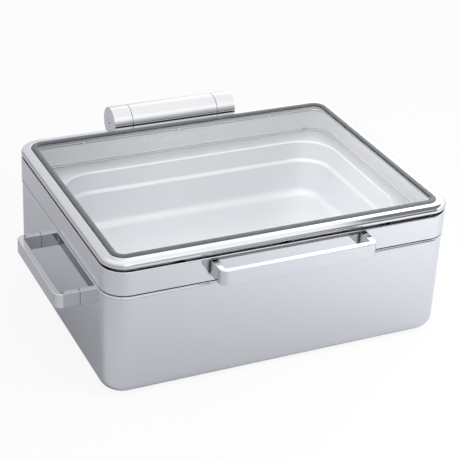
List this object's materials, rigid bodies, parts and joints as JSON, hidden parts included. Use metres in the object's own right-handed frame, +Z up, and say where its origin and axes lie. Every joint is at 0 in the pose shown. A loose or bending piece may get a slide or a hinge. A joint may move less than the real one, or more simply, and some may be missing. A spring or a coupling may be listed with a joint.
{
  "type": "induction chafing dish",
  "caption": "Rectangular polished steel induction chafing dish: deep base with a drop-in food pan and side handles, and a hinged lid with a glass window and front handle.",
  "frame": {"origin": "on the table under the middle of the base, on the induction plate's flat underside", "axes": "+X to the right as seen from the front handle, +Y from the front handle to the hinge, +Z up"},
  "size_m": [0.682, 0.5635, 0.265],
  "materials": {
    "polished_steel": "mirror-polished stainless steel sheet",
    "polished_bar": "mirror-polished stainless steel bar and castings",
    "satin_steel": "satin stainless steel, drawn",
    "plate_steel": "ground ferritic stainless steel",
    "fastener_steel": "plain stainless steel",
    "pin_steel": "ground stainless steel",
    "bronze": "plain sintered bronze",
    "silicone": "matt dark grey silicone",
    "window": "clear toughened glass"
  },
  "bodies": {
    "base": {"base_shell": "polished_steel", "induction_plate": "plate_steel", "pan_frame": "satin_steel", "food_pan": "satin_steel", "side_handle_left": "polished_bar", "side_handle_right": "polished_bar", "side_handle_backing": "fastener_steel", "side_handle_screws": "fastener_steel", "hinge_post_left": "polished_bar", "hinge_post_right": "polished_bar", "post_backing": "fastener_steel", "post_screws": "fastener_steel", "hinge_pin": "pin_steel", "pin_screws": "fastener_steel", "thrust_washers": "bronze"},
    "lid": {"lid_skirt": "polished_steel", "lid_bumpers": "silicone", "lid_frame": "polished_steel", "frame_screws": "fastener_steel", "window_gasket": "silicone", "window_glass": "window", "front_handle": "polished_bar", "front_handle_backing": "fastener_steel", "front_handle_screws": "fastener_steel", "hinge_barrel": "polished_bar", "barrel_plugs": "pin_steel", "hinge_bushes": "bronze", "friction_cartridge": "pin_steel", "barrel_backing": "fastener_steel", "barrel_screws": "fastener_steel"}
  },
  "joints": [
    {"name": "lid_hinge", "type": "hinge", "parent": "base", "child": "lid", "pos_m": [0, 0.2605, 0.236], "axis": [-1, 0, 0], "range_deg": [0, 90]}
  ]
}
